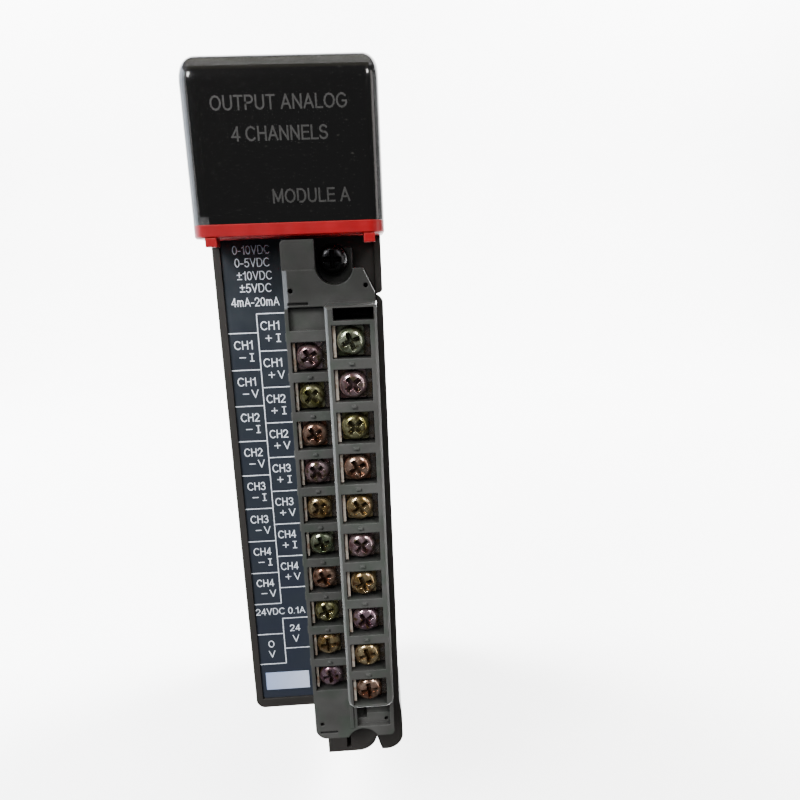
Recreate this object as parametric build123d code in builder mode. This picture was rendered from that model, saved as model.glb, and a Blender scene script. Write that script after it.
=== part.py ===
"""Slim rack-mounted controller output module with a removable two-level screw terminal block.

Millimetres, +Z up. The module stands upright in its rack. The origin is the centre of the flat rear
face (Y = 0) that seats on the rack, and the front of the module faces -Y.
"""

from build123d import *

import os

# ---------------------------------------------------------------- driving dimensions
HALF_WIDTH = 16.6  # front moulding
LENS_HALF_WIDTH = 17.2  # lens and coloured bar
CASE_HALF_WIDTH = 15.4  # rear case, narrower so that neighbours stay apart
TOP_Z = 75.0  # top of the lens
FOOT_Z = -75.0  # underside of the front skirt
CASE_HALF_HEIGHT = 74.6
SIDE_WALL = 1.3
CASE_WALL = 1.5

CASE_FRONT_Y = -69.0  # joint between the rear case and the front moulding
FLANGE_FRONT_Y = -71.0
BEZEL_FRONT_Y = -88.4
LABEL_Y = -88.0  # printed face of the wiring label
LENS_FRONT_Y = -100.0

PITCH = 7.62  # between neighbouring screws of one column
WAYS = 10  # screws in each column
FIRST_CELL_Z = 29.6  # top of the first cell of the raised column
LOW_SCREW_X = 2.05
HIGH_SCREW_X = 10.35
LOW_FRONT_Y = -99.6  # front plane of the lower column
HIGH_FRONT_Y = -109.6  # front plane of the raised column

LENS_BOTTOM_Z = 46.4
BAR_BOTTOM_Z = 44.1
PANEL_BOTTOM_Z = -61.5  # lower edge of the label panel

# ---------------------------------------------------------------- terminal block
BLOCK_LEFT = -1.9
BLOCK_RIGHT = 15.0
STEP_X = 6.17  # riser between the two columns
BLOCK_REAR_Y = -80.0
EAR_BACK_Y = -88.7
LUG_FRONT_Y = -94.8  # recessed level that the retaining screws bear on
BLOCK_TOP_Z = 31.0
BLOCK_BOTTOM_Z = -49.3
HIGH_TOP_Z = 31.9
HIGH_BOTTOM_Z = -46.5
EAR_TOP_Z = 43.4
NOTCH_R = 3.5
TOP_SCREW_X, TOP_SCREW_Z = 7.3, 39.7
UPPER_NOTCH_X, UPPER_NOTCH_Z = 7.7, 38.6
LOWER_SCREW_X, LOWER_SCREW_Z = 10.6, -52.6
POST_X, POST_Z = 8.2, -63.0

WELL_HEIGHT = 5.77
WELL_LEFT = 3.2  # well edges, measured from the screw's centre
WELL_RIGHT = 3.4
WELL_DEPTH = 3.9
PLATE_THICKNESS = 1.0
WASHER_THICKNESS = 0.7
HEAD_HEIGHT = 2.0
HEAD_R = 2.5
SHANK_R = 1.7
SHANK_LENGTH = 7.2
PIN_OFFSET = 2.6  # plug pins stand this far beside their screws
PIN_SIZE = 1.0
PIN_TIP_Y = -86.0
TUBE_SIZE = 2.3
TUBE_FRONT_Y = -87.4

# ---------------------------------------------------------------- bay for the terminal block
BAY_LEFT = -2.2
BAY_RIGHT = HALF_WIDTH - SIDE_WALL
BAY_TOP_Z = 31.3
BAY_BOTTOM_Z = -49.6
SOCKET_FRONT_Y = -79.6

# ---------------------------------------------------------------- boards
MAIN_BOARD_X = -12.4  # solder face of the main board
BOARD_THICKNESS = 1.6
COMPONENT_X = MAIN_BOARD_X + BOARD_THICKNESS
TERMINAL_BOARD_Y = -68.0
MOUNT_SCREW_Z = 66.0

LOW_ROWS = [FIRST_CELL_Z - PITCH * (row + 1) for row in range(WAYS)]
HIGH_ROWS = [FIRST_CELL_Z - PITCH * (row + 0.5) for row in range(WAYS)]
# Every terminal: screw centre and the front plane of its column, lower column first.
TERMINALS = [(LOW_SCREW_X, z, LOW_FRONT_Y) for z in LOW_ROWS]
TERMINALS += [(HIGH_SCREW_X, z, HIGH_FRONT_Y) for z in HIGH_ROWS]


def facing(y):
    """The upright plane at depth y, seen from the front: sketch x is X, sketch y is Z."""
    return Plane.XZ.offset(-y)


def block(x0, x1, y0, y1, z0, z1, mode=Mode.ADD):
    """A box between two corners, joined to or cut from the part being built."""
    with Locations(((x0 + x1) / 2, (y0 + y1) / 2, (z0 + z1) / 2)):
        Box(x1 - x0, y1 - y0, z1 - z0, mode=mode)


def rod(x, z, y0, y1, radius, mode=Mode.ADD):
    """A round bar along Y from y0 to y1."""
    with Locations(Location((x, (y0 + y1) / 2, z), (90, 0, 0))):
        Cylinder(radius, abs(y1 - y0), mode=mode)


def save(piece, label):
    piece.label = label
    export_step(piece, f"parts/{label}.step")


os.makedirs("parts", exist_ok=True)

# ================================================================ front moulding
SKIRT_LEFT = -0.7
FOOT_RIGHT = 17.1  # the right foot swells a little past the side
PANEL_CORNER_R = 2.0
LABEL_LEFT = -15.1
LABEL_BOTTOM_Z = -59.3
LABEL_THICKNESS = 0.3
PANEL_BACK_Y = -86.4
CAVITY_TOP_Z = 73.5
CAVITY_BOTTOM_Z = -60.0
BAY_WALL_LEFT = BAY_LEFT - 1.5
UPPER_CAVITY_Z = BAR_BOTTOM_Z + 1.5
INSERT_R = 2.3
INSERT_LENGTH = 6.0
LED_X, LED_Z = -9.1, 52.0
PEG_X = 8.0
PEG_R = 1.0
BAR_MID_Z = (BAR_BOTTOM_Z + LENS_BOTTOM_Z) / 2

with BuildPart() as front_bezel:
    with BuildSketch(facing(FLANGE_FRONT_Y)) as bezel_outline:
        with BuildLine():
            Polyline(
                (SKIRT_LEFT, PANEL_BOTTOM_Z),
                (-HALF_WIDTH, PANEL_BOTTOM_Z),
                (-HALF_WIDTH, TOP_Z),
                (HALF_WIDTH, TOP_Z),
                (HALF_WIDTH, -62.0),
                (FOOT_RIGHT, -66.0),
                (FOOT_RIGHT, -71.0),
            )
            # The skirt under the bay ends in two feet with a notch between them.
            RadiusArc((FOOT_RIGHT, -71.0), (13.2, FOOT_Z), 3.9)
            Polyline((13.2, FOOT_Z), (12.0, FOOT_Z), (10.9, -71.4))
            RadiusArc((10.9, -71.4), (6.6, FOOT_Z), 4.5)
            Polyline((6.6, FOOT_Z), (SKIRT_LEFT, FOOT_Z), (SKIRT_LEFT, PANEL_BOTTOM_Z))
        make_face()
        fillet(bezel_outline.vertices().group_by(Axis.X)[0].sort_by(Axis.Y)[0], PANEL_CORNER_R)
    extrude(amount=FLANGE_FRONT_Y - BEZEL_FRONT_Y)
    # Flange that meets the rear case.
    block(-HALF_WIDTH, HALF_WIDTH, FLANGE_FRONT_Y, CASE_FRONT_Y, -CASE_HALF_HEIGHT, CASE_HALF_HEIGHT)
    # Hollow behind the label panel and behind the lens.
    block(-HALF_WIDTH + SIDE_WALL, BAY_WALL_LEFT, PANEL_BACK_Y, FLANGE_FRONT_Y,
          CAVITY_BOTTOM_Z, CAVITY_TOP_Z, Mode.SUBTRACT)
    block(BAY_WALL_LEFT, BAY_RIGHT, PANEL_BACK_Y, FLANGE_FRONT_Y,
          UPPER_CAVITY_Z, CAVITY_TOP_Z, Mode.SUBTRACT)
    # Passage for the main board through the flange.
    block(MAIN_BOARD_X - 0.1, BAY_WALL_LEFT, FLANGE_FRONT_Y, CASE_FRONT_Y,
          CAVITY_BOTTOM_Z, 72.6, Mode.SUBTRACT)
    # Bay for the terminal block, open right through to its socket.
    block(BAY_LEFT, BAY_RIGHT, BEZEL_FRONT_Y, CASE_FRONT_Y, BAY_BOTTOM_Z, BAY_TOP_Z, Mode.SUBTRACT)
    # Recess for the wiring label.
    block(LABEL_LEFT, BAY_LEFT, BEZEL_FRONT_Y, LABEL_Y + LABEL_THICKNESS,
          LABEL_BOTTOM_Z, BAR_BOTTOM_Z, Mode.SUBTRACT)
    # Seat in front of the screw bosses, so that the ears lie flush behind the label's plane.
    block(BAY_LEFT, BAY_RIGHT, BEZEL_FRONT_Y, LABEL_Y, PANEL_BOTTOM_Z, BAR_BOTTOM_Z, Mode.SUBTRACT)
    # Holes for the threaded inserts of the two retaining screws.
    for boss_x, boss_z in ((TOP_SCREW_X, TOP_SCREW_Z), (LOWER_SCREW_X, LOWER_SCREW_Z)):
        rod(boss_x, boss_z, LABEL_Y, LABEL_Y + INSERT_LENGTH, INSERT_R, Mode.SUBTRACT)
        rod(boss_x, boss_z, LABEL_Y, LABEL_Y + 2 * INSERT_LENGTH, 1.8, Mode.SUBTRACT)
    # Round post that the notch in the block's lower ear drops over.
    rod(POST_X, POST_Z, CASE_FRONT_Y, -96.3, NOTCH_R - 0.35)
    # Narrow blind slot in the left foot.
    block(3.7, 4.7, BEZEL_FRONT_Y, -80.0, FOOT_Z + 1.0, -68.0, Mode.SUBTRACT)
    # Rounded gap in the right-hand rail, with a wider relief behind it.
    with BuildSketch(facing(-86.0)):
        with BuildLine():
            upper_corner = CenterArc((15.6, 33.9), 1.1, -90, 90)
            lower_corner = CenterArc((14.6, 30.6), 2.1, 0, 73)
            Line(upper_corner @ 1, lower_corner @ 0)
            Line(lower_corner @ 1, upper_corner @ 0)
        make_face()
    extrude(amount=-86.0 - BEZEL_FRONT_Y, mode=Mode.SUBTRACT)
    block(BAY_RIGHT, HALF_WIDTH, -86.0, CASE_FRONT_Y, 29.2, 34.6, Mode.SUBTRACT)
    # Light hole for the status lamp and peg holes for the coloured bar.
    rod(LED_X, LED_Z, PANEL_BACK_Y, BEZEL_FRONT_Y, 1.7, Mode.SUBTRACT)
    for peg_x in (-PEG_X, PEG_X):
        rod(peg_x, BAR_MID_Z + 0.2, BEZEL_FRONT_Y, BEZEL_FRONT_Y + 1.8, PEG_R + 0.05, Mode.SUBTRACT)
    # Four snap hooks that hold the rear case.
    for side, hook_z in ((-1, 50.0), (-1, -50.0), (1, 55.0), (1, -66.0)):
        inner, outer, nib = sorted((side * 12.6, side * 13.8)), side * 13.8, side * 14.9
        block(inner[0], inner[1], CASE_FRONT_Y, -59.0, hook_z - 4, hook_z + 4)
        block(min(outer, nib), max(outer, nib), -62.8, -61.2, hook_z - 3.5, hook_z + 3.5)
    # Screw pilots for the terminal board.
    for pilot_z in (-54.5, 34.5):
        rod(2.0, pilot_z, CASE_FRONT_Y, TERMINAL_BOARD_Y, 2.6)
        rod(2.0, pilot_z, TERMINAL_BOARD_Y, -74.0, 1.05, Mode.SUBTRACT)
save(front_bezel.part, "front_bezel")

# ================================================================ rear case
BACK_WALL = 2.0
CHANNEL_HALF = 4.5
CHANNEL_FLOOR_Z = 61.5
LUG_THICKNESS = 6.0
CONNECTOR_LEFT = COMPONENT_X
CONNECTOR_RIGHT = COMPONENT_X + 8.4
CONNECTOR_HALF_Z = 27.0
HOOK_X = 8.0

with BuildPart() as rear_case:
    block(-CASE_HALF_WIDTH, CASE_HALF_WIDTH, CASE_FRONT_Y, 0, -CASE_HALF_HEIGHT, CASE_HALF_HEIGHT)
    fillet(rear_case.edges().filter_by(Axis.Y), 1.2)
    fillet(rear_case.faces().sort_by(Axis.Y)[-1].edges(), 0.5)
    inner_x = CASE_HALF_WIDTH - CASE_WALL
    inner_z = CASE_HALF_HEIGHT - BACK_WALL
    block(-inner_x, inner_x, CASE_FRONT_Y, -BACK_WALL, -inner_z, inner_z, Mode.SUBTRACT)
    # Sloping screwdriver channel down to the mounting lug, open at the top.
    with BuildSketch(Plane.YZ.offset(-CHANNEL_HALF - CASE_WALL)):
        with BuildLine():
            Polyline((-1, 60.0), (-16.4, 60.0), (-60.0, inner_z + 0.5), (-1, inner_z + 0.5), close=True)
        make_face()
    extrude(amount=2 * (CHANNEL_HALF + CASE_WALL))
    with BuildSketch(Plane.YZ.offset(-CHANNEL_HALF)):
        with BuildLine():
            Polyline((-LUG_THICKNESS, CHANNEL_FLOOR_Z), (-16.0, CHANNEL_FLOOR_Z),
                     (-59.0, 76.0), (-LUG_THICKNESS, 76.0), close=True)
        make_face()
    extrude(amount=2 * CHANNEL_HALF, mode=Mode.SUBTRACT)
    rod(0, MOUNT_SCREW_Z, -LUG_THICKNESS, 0, 2.15, Mode.SUBTRACT)
    # Window for the rack connector.
    block(CONNECTOR_LEFT - 0.2, CONNECTOR_RIGHT + 0.2, -BACK_WALL, 0,
          -CONNECTOR_HALF_Z - 0.2, CONNECTOR_HALF_Z + 0.2, Mode.SUBTRACT)
    # Two hooks on the lower rear edge that catch in the rack.
    for hook_x in (-HOOK_X, HOOK_X):
        block(hook_x - 3, hook_x + 3, -1.0, 3.6, -CASE_HALF_HEIGHT + 0.6, -CASE_HALF_HEIGHT + 2.8)
        block(hook_x - 3, hook_x + 3, 2.2, 3.6, -CASE_HALF_HEIGHT + 2.8, -CASE_HALF_HEIGHT + 4.6)
    # Guide rails for the main board.
    for rail_x in (MAIN_BOARD_X - 1.4, COMPONENT_X + 0.1):
        for rail_z in (-inner_z, inner_z - 3.4):
            block(rail_x, rail_x + 1.3, -56.0, -4.0, rail_z, rail_z + 3.4)
    # Cooling slots in both sides, below the screwdriver channel and near the bottom.
    for slot_z in (44.0, -54.0):
        with Locations((0, -34.0, slot_z)):
            with GridLocations(1.0, 20.0, 1, 2):
                with Locations(*[(0, 0, 4.2 * (step - 2.5)) for step in range(6)]):
                    Box(2 * CASE_HALF_WIDTH, 15.0, 1.8, mode=Mode.SUBTRACT)
    # Windows for the snap hooks of the front moulding.
    for side, hook_z in ((-1, 50.0), (-1, -50.0), (1, 55.0), (1, -66.0)):
        wall_x = sorted((side * inner_x, side * CASE_HALF_WIDTH))
        block(wall_x[0], wall_x[1], -63.2, -60.8, hook_z - 3.8, hook_z + 3.8, Mode.SUBTRACT)
save(rear_case.part, "rear_case")

# ================================================================ lens, bar and label
LENS_TOP_R = 5.0
LENS_SIDE_R = 2.8
LENS_WALL = 1.5

# Space inside the lens, cut from it below.
with BuildPart() as lens_hollow:
    block(-LENS_HALF_WIDTH + LENS_WALL, LENS_HALF_WIDTH - LENS_WALL,
          LENS_FRONT_Y + LENS_WALL, BEZEL_FRONT_Y, LENS_BOTTOM_Z + LENS_WALL, TOP_Z - LENS_WALL)
    fillet(lens_hollow.edges().filter_by(Axis.X).group_by(Axis.Y)[0].sort_by(Axis.Z)[-1],
           LENS_TOP_R - LENS_WALL)

with BuildPart() as indicator_lens:
    block(-LENS_HALF_WIDTH, LENS_HALF_WIDTH, LENS_FRONT_Y, BEZEL_FRONT_Y, LENS_BOTTOM_Z, TOP_Z)
    fillet(indicator_lens.edges().filter_by(Axis.X).group_by(Axis.Y)[0].sort_by(Axis.Z)[-1], LENS_TOP_R)
    outer_edges = indicator_lens.edges().filter_by(GeomType.CIRCLE)
    outer_edges += indicator_lens.edges().filter_by(Axis.Z).group_by(Axis.Y)[0]
    outer_edges += indicator_lens.edges().filter_by(Axis.Y).group_by(Axis.Z)[-1]
    fillet(outer_edges, LENS_SIDE_R)
    add(lens_hollow.part, mode=Mode.SUBTRACT)
save(indicator_lens.part, "indicator_lens")

BAR_TAB_HEIGHT = 1.5
BAR_TAB_HALF = 1.0
BAR_TAB_DEPTH = 3.0
with BuildPart() as colour_bar:
    block(-LENS_HALF_WIDTH, LENS_HALF_WIDTH, LENS_FRONT_Y, BEZEL_FRONT_Y, BAR_BOTTOM_Z, LENS_BOTTOM_Z)
    fillet(colour_bar.edges().filter_by(Axis.Z).group_by(Axis.Y)[0], LENS_SIDE_R)
    chamfer(colour_bar.faces().sort_by(Axis.Z)[0].edges().filter_by(Axis.X).sort_by(Axis.Y)[0], 0.3)
    for tab_x in (-13.9, 14.4):
        block(tab_x - BAR_TAB_HALF, tab_x + BAR_TAB_HALF, LENS_FRONT_Y + 0.2, LENS_FRONT_Y + BAR_TAB_DEPTH,
              BAR_BOTTOM_Z - BAR_TAB_HEIGHT, BAR_BOTTOM_Z)
    for peg_x in (-PEG_X, PEG_X):
        rod(peg_x, BAR_MID_Z + 0.2, BEZEL_FRONT_Y, BEZEL_FRONT_Y + 1.6, PEG_R)
save(colour_bar.part, "colour_bar")

CARRIER_FRONT_Y = -95.6
CARD_THICKNESS = 0.4
with BuildPart() as indicator_carrier:
    block(-14.8, 14.8, CARRIER_FRONT_Y, BEZEL_FRONT_Y, 48.2, 71.8)
    block(-5.0, 13.4, CARRIER_FRONT_Y + 1.4, BEZEL_FRONT_Y, 49.6, 70.4, Mode.SUBTRACT)
    rod(LED_X, LED_Z, CARRIER_FRONT_Y, BEZEL_FRONT_Y, 1.7, Mode.SUBTRACT)
save(indicator_carrier.part, "indicator_carrier")

with BuildPart() as indicator_card:
    block(-14.6, 14.6, CARRIER_FRONT_Y - CARD_THICKNESS, CARRIER_FRONT_Y, 48.6, 71.4)
    fillet(indicator_card.edges().filter_by(Axis.Y), 1.0)
save(indicator_card.part, "indicator_card")

with BuildPart() as light_guide:
    rod(LED_X, LED_Z, CARRIER_FRONT_Y, BEZEL_FRONT_Y, 1.6)
save(light_guide.part, "light_guide")

with BuildPart() as status_lamp:
    rod(LED_X, LED_Z, BEZEL_FRONT_Y + 0.1, -84.0, 1.5)
    rod(LED_X, LED_Z, -84.6, -83.6, 1.65)
    for lead_z in (LED_Z - 1.27, LED_Z + 1.27):
        block(LED_X - 0.25, LED_X + 0.25, -83.6, -81.0, lead_z - 0.25, lead_z + 0.25)
        block(COMPONENT_X, LED_X - 0.25, -81.5, -81.0, lead_z - 0.25, lead_z + 0.25)
save(status_lamp.part, "status_lamp")

with BuildPart() as wiring_label:
    block(LABEL_LEFT + 0.05, BAY_LEFT, LABEL_Y, LABEL_Y + LABEL_THICKNESS,
          LABEL_BOTTOM_Z + 0.05, BAR_BOTTOM_Z - 0.05)
    fillet(wiring_label.edges().filter_by(Axis.Y).group_by(Axis.Z)[0].sort_by(Axis.X)[0], 0.8)
save(wiring_label.part, "wiring_label")

STRIP_LEFT, STRIP_RIGHT = -14.0, -4.1
STRIP_BOTTOM_Z, STRIP_TOP_Z = -57.1, -52.7
with BuildPart() as write_on_strip:
    block(STRIP_LEFT, STRIP_RIGHT, LABEL_Y - 0.12, LABEL_Y, STRIP_BOTTOM_Z, STRIP_TOP_Z)
save(write_on_strip.part, "write_on_strip")

# ================================================================ removable terminal block
BARRIER_RIB = 0.3
EDGE_R = 0.45
EAR_STEP_Z = 38.0  # the upper ear steps back and narrows above this height
POCKET_LEFT, POCKET_RIGHT = 7.1, 14.2
POCKET_TOP_Z, POCKET_LEDGE_Z, POCKET_BOTTOM_Z = -48.6, -56.6, -59.0
with BuildPart() as terminal_block:
    # Recessed level of both ears, and the raised front level with its two half-round notches.
    for front_y, back_y, ear_top in ((LUG_FRONT_Y, EAR_BACK_Y, 41.8), (LOW_FRONT_Y, LUG_FRONT_Y, EAR_TOP_Z)):
        with BuildSketch(facing(back_y)) as ear_outline:
            with BuildLine():
                Polyline((BLOCK_LEFT, PANEL_BOTTOM_Z), (BLOCK_RIGHT, PANEL_BOTTOM_Z),
                         (BLOCK_RIGHT, 33.4), (14.1, 35.3), (12.9, EAR_STEP_Z), (10.9, EAR_STEP_Z),
                         (10.9, ear_top), (BLOCK_LEFT, ear_top), close=True)
            make_face()
            fillet(ear_outline.vertices().group_by(Axis.Y)[0].sort_by(Axis.X)[0], 2.5)
            fillet(ear_outline.vertices().group_by(Axis.Y)[0].sort_by(Axis.X)[-1], 1.0)
            fillet(ear_outline.vertices().group_by(Axis.Y)[-1].sort_by(Axis.X)[0], 0.8)
            with Locations((POST_X, POST_Z)):
                Circle(NOTCH_R, mode=Mode.SUBTRACT)
        extrude(amount=back_y - front_y)
    with BuildSketch(facing(LUG_FRONT_Y)):
        with Locations((UPPER_NOTCH_X, UPPER_NOTCH_Z)):
            Circle(NOTCH_R)
        with Locations((UPPER_NOTCH_X - NOTCH_R, UPPER_NOTCH_Z)):
            Rectangle(20.0, 10.0, align=(Align.MIN, Align.MIN))
        with Locations((UPPER_NOTCH_X + NOTCH_R - 0.1, EAR_STEP_Z)):
            Rectangle(20.0, 2.0, align=(Align.MIN, Align.MIN))
        # Pocket around the lower retaining screw, one corner of it reaching further down.
        with Locations((POCKET_LEFT, POCKET_LEDGE_Z)):
            Rectangle(POCKET_RIGHT - POCKET_LEFT, POCKET_TOP_Z - POCKET_LEDGE_Z,
                      align=(Align.MIN, Align.MIN))
        with Locations((POCKET_LEFT + 0.1, POCKET_LEDGE_Z - 1.1)):
            Rectangle(2.0, 1.2, align=(Align.MIN, Align.MIN))
    extrude(amount=LUG_FRONT_Y - LOW_FRONT_Y, mode=Mode.SUBTRACT)
    block(POCKET_LEFT, POCKET_RIGHT, LOW_FRONT_Y, LOW_FRONT_Y + 1.1, POCKET_BOTTOM_Z, POCKET_LEDGE_Z,
          Mode.SUBTRACT)
    # The upper ear lies a little lower, with a broad bevel down its left edge below the step.
    block(BLOCK_LEFT, UPPER_NOTCH_X - NOTCH_R, LOW_FRONT_Y, LOW_FRONT_Y + 0.4, EAR_STEP_Z, EAR_TOP_Z,
          Mode.SUBTRACT)
    with BuildSketch(Plane.XY.offset(BLOCK_TOP_Z)):
        with BuildLine():
            Polyline((BLOCK_LEFT, LOW_FRONT_Y), (BLOCK_LEFT + 0.9, LOW_FRONT_Y),
                     (BLOCK_LEFT, LOW_FRONT_Y + 0.8), close=True)
        make_face()
    extrude(amount=EAR_STEP_Z - BLOCK_TOP_Z, mode=Mode.SUBTRACT)
    # Body in the bay, and the raised column in front of it.
    block(BLOCK_LEFT, BLOCK_RIGHT, LUG_FRONT_Y, BLOCK_REAR_Y, BLOCK_BOTTOM_Z, BLOCK_TOP_Z)
    with BuildSketch(facing(LOW_FRONT_Y)) as high_outline:
        with Locations(((STEP_X + BLOCK_RIGHT) / 2, (HIGH_TOP_Z + HIGH_BOTTOM_Z) / 2)):
            Rectangle(BLOCK_RIGHT - STEP_X, HIGH_TOP_Z - HIGH_BOTTOM_Z)
        fillet(high_outline.vertices().group_by(Axis.Y)[0], 1.8)
    extrude(amount=LOW_FRONT_Y - HIGH_FRONT_Y)
    chamfer(terminal_block.faces().sort_by(Axis.Y)[0].edges(), EDGE_R)
    # Clearance holes for the retaining screws.
    for screw_x, screw_z in ((TOP_SCREW_X, TOP_SCREW_Z), (LOWER_SCREW_X, LOWER_SCREW_Z)):
        rod(screw_x, screw_z, LUG_FRONT_Y, EAR_BACK_Y, 1.75, Mode.SUBTRACT)
    for x, z, front_y in TERMINALS:
        half = WELL_HEIGHT / 2
        floor_y = front_y + WELL_DEPTH
        # Screw well, screw hole, slot for the contact's tail, and the pin socket at the back.
        block(x - WELL_LEFT, x + WELL_RIGHT, front_y, floor_y, z - half, z + half, Mode.SUBTRACT)
        rod(x, z, floor_y, front_y + 10.4, 2.1, Mode.SUBTRACT)
        block(x + 2.4, x + WELL_RIGHT, floor_y, TUBE_FRONT_Y, z - 1.1, z + 1.1, Mode.SUBTRACT)
        block(x + PIN_OFFSET - 1.2, x + PIN_OFFSET + 1.2, TUBE_FRONT_Y, BLOCK_REAR_Y,
              z - 1.2, z + 1.2, Mode.SUBTRACT)
        # Small rib on the barrier below each screw but the last raised one, which has no room for it.
        if z - half - 1.2 > HIGH_BOTTOM_Z:
            block(x - 0.4, x + 0.4, front_y - BARRIER_RIB, front_y + 1.0, z - half - 1.15, z - half - 0.7)
    # Barriers of the lower column stand a little proud of its left side.
    for z in LOW_ROWS:
        block(BLOCK_LEFT - 0.2, BLOCK_LEFT + 1, LOW_FRONT_Y + 0.3, LOW_FRONT_Y + 6,
              z + PITCH / 2 - 0.7, z + PITCH / 2 + 0.7)
    # Deep blind pocket under a thin roof above the first raised screw.
    block(HIGH_SCREW_X - WELL_LEFT + 0.4, BLOCK_RIGHT - 0.5, HIGH_FRONT_Y, HIGH_FRONT_Y + 8.6,
          29.45, HIGH_TOP_Z - 0.3, Mode.SUBTRACT)
    # Sunken blank panel above the first lower screw.
    block(-1.2, STEP_X - 0.8, LOW_FRONT_Y, LOW_FRONT_Y + 1.0, 27.0, 31.3, Mode.SUBTRACT)
    # Low ridge that runs on from the raised column, down beside the pocket.
    block(STEP_X - 0.5, STEP_X + 0.2, LOW_FRONT_Y - BARRIER_RIB, LOW_FRONT_Y, POCKET_BOTTOM_Z, HIGH_BOTTOM_Z)
    # Locating pips and shallow grooves at both ends of the front.
    for pip_x, pip_z in ((-0.5, 34.3), (13.3, 34.9), (-0.4, -57.8), (13.4, -58.2)):
        rod(pip_x, pip_z, LOW_FRONT_Y, LOW_FRONT_Y + 2.0, 0.45, Mode.SUBTRACT)
    for groove_left, groove_z in ((-1.2, 31.9), (-1.0, -59.9)):
        block(groove_left, groove_left + 3.8, LOW_FRONT_Y, LOW_FRONT_Y + 0.5,
              groove_z - 0.25, groove_z + 0.25, Mode.SUBTRACT)
save(terminal_block.part, "terminal_block")

# ================================================================ terminal contacts and screws
with BuildPart() as terminal_contacts:
    for x, z, front_y in TERMINALS:
        plate_front = front_y + WELL_DEPTH - PLATE_THICKNESS
        floor_y = front_y + WELL_DEPTH
        half = WELL_HEIGHT / 2 - 0.1
        # Clamp plate with an upturned left edge, a tail, and a square tube for the plug pin.
        block(x - 3.1, x + 3.3, plate_front, floor_y, z - half, z + half)
        block(x - 3.1, x - 2.6, plate_front - 1.7, plate_front, z - half, z + half)
        block(x + 2.5, x + 3.3, floor_y, TUBE_FRONT_Y, z - 1.0, z + 1.0)
        block(x + PIN_OFFSET - TUBE_SIZE / 2, x + PIN_OFFSET + TUBE_SIZE / 2,
              TUBE_FRONT_Y, BLOCK_REAR_Y - 0.2, z - TUBE_SIZE / 2, z + TUBE_SIZE / 2)
        block(x + PIN_OFFSET - 0.85, x + PIN_OFFSET + 0.85, TUBE_FRONT_Y + 0.6, BLOCK_REAR_Y,
              z - 0.85, z + 0.85, Mode.SUBTRACT)
        rod(x, z, plate_front, floor_y, SHANK_R + 0.1, Mode.SUBTRACT)
save(terminal_contacts.part, "terminal_contacts")


def cross_recess(x, z, front_y, width, length, depth, turn=0.0):
    """Cut a tapered cross recess, turned by an angle, into the head that is being built."""
    with BuildSketch(facing(front_y)) as cross:
        with Locations((x, z)):
            Rectangle(width, length, rotation=turn)
            Rectangle(length, width, rotation=turn)
    extrude(cross.sketch, amount=-depth, taper=14, mode=Mode.SUBTRACT)


def domed_head(x, z, front_y, radius, height):
    """A pan head whose crown is at front_y and whose flat seat is height behind it."""
    seat_y = front_y + height
    with BuildSketch(Plane((x, 0, z), x_dir=(1, 0, 0), z_dir=(0, 0, 1))) as half_section:
        with BuildLine():
            crown = Line((0, front_y), (radius * 0.45, front_y))
            brow = ThreePointArc(crown @ 1, (radius * 0.87, front_y + height * 0.28),
                                 (radius, front_y + height * 0.62))
            Polyline(brow @ 1, (radius, seat_y), (0, seat_y), (0, front_y))
        make_face()
    revolve(half_section.sketch, axis=Axis((x, 0, z), (0, 1, 0)))


def terminal_screw(x, z, front_y, turn):
    """Clamp screw with its captive square washer, as two separate solids."""
    crown_y = front_y + 0.2
    washer_y = crown_y + HEAD_HEIGHT
    with BuildPart() as screw:
        domed_head(x, z, crown_y, HEAD_R, HEAD_HEIGHT)
        rod(x, z, washer_y, washer_y + SHANK_LENGTH, SHANK_R)
        chamfer(screw.faces().sort_by(Axis.Y)[-1].edges(), 0.5)
        cross_recess(x, z, crown_y, 0.95, 3.3, 1.35, turn)
    with BuildPart() as washer:
        with BuildSketch(facing(washer_y)):
            with Locations((x, z)):
                RectangleRounded(4.6, 5.2, 0.5)
                Circle(SHANK_R + 0.1, mode=Mode.SUBTRACT)
        extrude(amount=-WASHER_THICKNESS)
    return Compound(children=[screw.part.solid(), washer.part.solid()])


# How far each screw's recess is turned, in degrees, in the order of TERMINALS.
LOW_TURNS = [30, 45, 30, 45, 40, 15, 25, 20, 5, 5]
HIGH_TURNS = [20, 40, 45, 30, 35, 45, 20, 35, 12, 8]
for number, ((x, z, front_y), turn) in enumerate(zip(TERMINALS, LOW_TURNS + HIGH_TURNS), start=1):
    save(terminal_screw(x, z, front_y, turn), f"terminal_screw_{number:02d}")

# ================================================================ retaining and mounting screws
RETAIN_HEAD_R = 2.7
RETAIN_HEAD_HEIGHT = 2.2
RETAIN_SHANK_R = 1.5
RETAIN_WASHER = 0.6
RETAIN_TIP_Y = -81.0


def captive_screw(x, z, seat_y, tip_y, head_r, head_height, shank_r, neck_r=None, neck_y=None):
    """A pan-head machine screw along Y, with an optional thinner neck behind its thread."""
    crown_y = seat_y - head_height
    with BuildPart() as screw:
        domed_head(x, z, crown_y, head_r, head_height)
        if neck_r:
            rod(x, z, seat_y, neck_y, neck_r)
            rod(x, z, neck_y, tip_y, shank_r)
        else:
            rod(x, z, seat_y, tip_y, shank_r)
        chamfer(screw.faces().sort_by(Axis.Y)[-1].edges(), 0.5)
        cross_recess(x, z, crown_y, 0.38 * head_r, 1.3 * head_r, 0.62 * head_height)
    return screw.part


def round_washer(x, z, front_y, back_y, outer_r, inner_r):
    with BuildPart() as washer:
        rod(x, z, front_y, back_y, outer_r)
        rod(x, z, front_y, back_y, inner_r, Mode.SUBTRACT)
    return washer.part


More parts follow.
